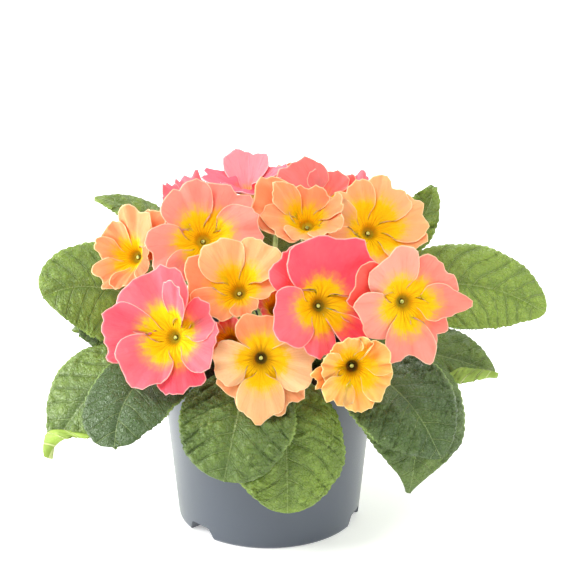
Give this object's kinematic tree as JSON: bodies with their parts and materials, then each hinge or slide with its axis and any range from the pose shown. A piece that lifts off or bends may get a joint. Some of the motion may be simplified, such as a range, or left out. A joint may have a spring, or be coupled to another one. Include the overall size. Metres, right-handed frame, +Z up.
{
  "type": "potted primrose",
  "caption": "Potted primrose: a dome of pink and peach flowers with yellow eyes over a rosette of crinkled leaves, in a tapered grey-blue plastic pot.",
  "frame": {"origin": "middle of the pot's flat base, on the surface that the pot stands on", "axes": "+Z up along the pot's axis, -Y the front, +X to the right and along the plant's widest spread"},
  "size_m": [0.2422, 0.1954, 0.1772],
  "materials": {
    "pot_plastic": "satin blue-grey moulded plastic",
    "peat": "crumbly dark brown peat compost",
    "crown_tissue": "pale green leaf bases packed in a short crown",
    "leaf_blade": "crinkled green leaf, paler veins, soft sheen",
    "flower_stalk": "pale yellow-green, finely downy",
    "petal_peach": "velvety peach with a yellow eye and a cream edge",
    "petal_apricot": "velvety yellow-orange with a deep yellow eye",
    "petal_salmon": "velvety salmon pink with a yellow eye and a cream edge",
    "petal_coral": "velvety coral orange with a yellow eye",
    "petal_rose": "velvety rose pink with an orange-yellow eye and a pale edge",
    "petal_pink": "velvety light pink with a yellow eye and a pale edge"
  },
  "bodies": {
    "root": {"pot": "pot_plastic", "soil": "peat", "crown": "crown_tissue", "leaf_01": "leaf_blade", "leaf_02": "leaf_blade", "leaf_03": "leaf_blade", "leaf_04": "leaf_blade", "leaf_05": "leaf_blade", "leaf_06": "leaf_blade", "leaf_07": "leaf_blade", "leaf_08": "leaf_blade", "leaf_09": "leaf_blade", "leaf_10": "leaf_blade", "leaf_11": "leaf_blade", "leaf_12": "leaf_blade", "leaf_13": "leaf_blade", "leaf_14": "leaf_blade", "leaf_15": "leaf_blade", "leaf_16": "leaf_blade", "leaf_17": "leaf_blade", "stem_01": "flower_stalk", "flower_01": "petal_peach", "stem_02": "flower_stalk", "flower_02": "petal_apricot", "stem_03": "flower_stalk", "flower_03": "petal_rose", "stem_04": "flower_stalk", "flower_04": "petal_salmon", "stem_05": "flower_stalk", "flower_05": "petal_peach", "stem_06": "flower_stalk", "flower_06": "petal_peach", "stem_07": "flower_stalk", "flower_07": "petal_salmon", "stem_08": "flower_stalk", "flower_08": "petal_peach", "stem_09": "flower_stalk", "flower_09": "petal_peach", "stem_10": "flower_stalk", "flower_10": "petal_rose", "stem_11": "flower_stalk", "flower_11": "petal_pink", "stem_12": "flower_stalk", "flower_12": "petal_coral", "stem_13": "flower_stalk", "flower_13": "petal_pink", "stem_14": "flower_stalk", "flower_14": "petal_pink", "stem_15": "flower_stalk", "flower_15": "petal_salmon", "stem_16": "flower_stalk", "flower_16": "petal_coral", "stem_17": "flower_stalk", "flower_17": "petal_rose", "stem_18": "flower_stalk", "flower_18": "petal_salmon", "stem_19": "flower_stalk", "flower_19": "petal_peach", "stem_20": "flower_stalk", "flower_20": "petal_coral"}
  },
  "joints": []
}
